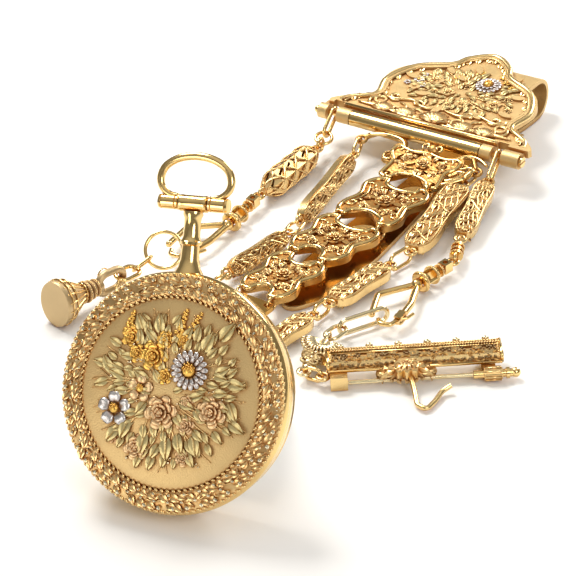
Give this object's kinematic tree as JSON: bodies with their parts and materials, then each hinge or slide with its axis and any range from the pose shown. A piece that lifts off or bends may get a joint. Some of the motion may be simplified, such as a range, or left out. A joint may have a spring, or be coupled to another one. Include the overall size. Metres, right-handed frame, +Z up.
{
  "type": "gold chatelaine with watch and plain rest",
  "caption": "Lying gold chatelaine: belt hook plate, pierced plaques, side chains with clasps and seal, bar brooch, and a watch leaning on a plain rest.",
  "frame": {"origin": "middle of the foot of the whole object's box, on the table", "axes": "+X along the hinge towards the picture's right, +Y from the watch up to the hook plate, +Z up from the table"},
  "size_m": [0.102, 0.1856, 0.062],
  "materials": {
    "yellow_gold": "polished yellow gold",
    "chased_gold": "chased and stippled yellow gold with coloured-gold relief",
    "pale_gold": "polished pale gold",
    "white_dial": "white enamel with plain numerals",
    "watch_glass": "clear domed glass",
    "rest_block": "plain matte pale block"
  },
  "bodies": {
    "chatelaine": {"big_ring": "yellow_gold", "brooch_bar": "chased_gold", "brooch_pin": "pale_gold", "drop_hook": "yellow_gold", "fob_ring": "yellow_gold", "hinge_pin": "yellow_gold", "hook_plate": "chased_gold", "inner_left_link_1": "yellow_gold", "inner_left_link_2": "yellow_gold", "inner_left_ring_1": "yellow_gold", "inner_left_ring_2": "yellow_gold", "inner_left_ring_3": "yellow_gold", "inner_right_link_1": "yellow_gold", "inner_right_link_2": "yellow_gold", "inner_right_link_3": "yellow_gold", "inner_right_ring_1": "yellow_gold", "inner_right_ring_2": "yellow_gold", "inner_right_ring_3": "yellow_gold", "inner_right_ring_4": "yellow_gold", "joint_piece": "yellow_gold", "leaf_link": "yellow_gold", "left_hook": "yellow_gold", "left_loop_ring": "yellow_gold", "left_pin_loop": "yellow_gold", "left_ring_two": "yellow_gold", "left_swivel": "yellow_gold", "pale_link": "pale_gold", "pale_small_link": "pale_gold", "plaque_1": "chased_gold", "plaque_2": "chased_gold", "plaque_3": "chased_gold", "plaque_4": "chased_gold", "plaque_ring_1": "yellow_gold", "plaque_ring_2": "yellow_gold", "plaque_ring_3": "yellow_gold", "plaque_ring_4": "yellow_gold", "plaque_ring_5": "yellow_gold", "plaque_ring_6": "yellow_gold", "plaque_ring_7": "yellow_gold", "plaque_ring_8": "yellow_gold", "right_hook": "yellow_gold", "right_pin_loop": "yellow_gold", "right_swivel": "yellow_gold", "seal": "yellow_gold", "seal_bail": "yellow_gold", "seal_ring": "yellow_gold", "shell_fob": "chased_gold", "spindle_link": "yellow_gold", "watch_bezel": "yellow_gold", "watch_case": "chased_gold", "watch_dial": "white_dial", "watch_glass": "watch_glass", "watch_rest": "rest_block"},
    "watch_bow": {"watch_bow": "yellow_gold"},
    "left_gate": {"left_gate": "yellow_gold"},
    "right_gate": {"right_gate": "yellow_gold"},
    "pin_catch": {"pin_catch": "yellow_gold"}
  },
  "joints": [
    {"name": "bow_swing", "type": "hinge", "parent": "chatelaine", "child": "watch_bow", "pos_m": [0.00427, -0.0592, 0.05319], "axis": [0.9745, 0.2137, 0.0688], "range_deg": [-80, 80]},
    {"name": "left_gate_open", "type": "hinge", "parent": "chatelaine", "child": "left_gate", "pos_m": [-0.03551, -0.00722, 0.0026], "axis": [0, 0, -1], "range_deg": [0, 18], "stiffness_Nm_per_rad": 0.002, "springref_deg": -5.73},
    {"name": "right_gate_open", "type": "hinge", "parent": "chatelaine", "child": "right_gate", "pos_m": [0.01934, -0.00863, 0.0026], "axis": [0, 0, -1], "range_deg": [0, 18], "stiffness_Nm_per_rad": 0.002, "springref_deg": -5.73},
    {"name": "catch_slide", "type": "slide", "parent": "chatelaine", "child": "pin_catch", "axis": [0.8192, 0.5736, 0], "range_m": [0, 0.0023]}
  ]
}
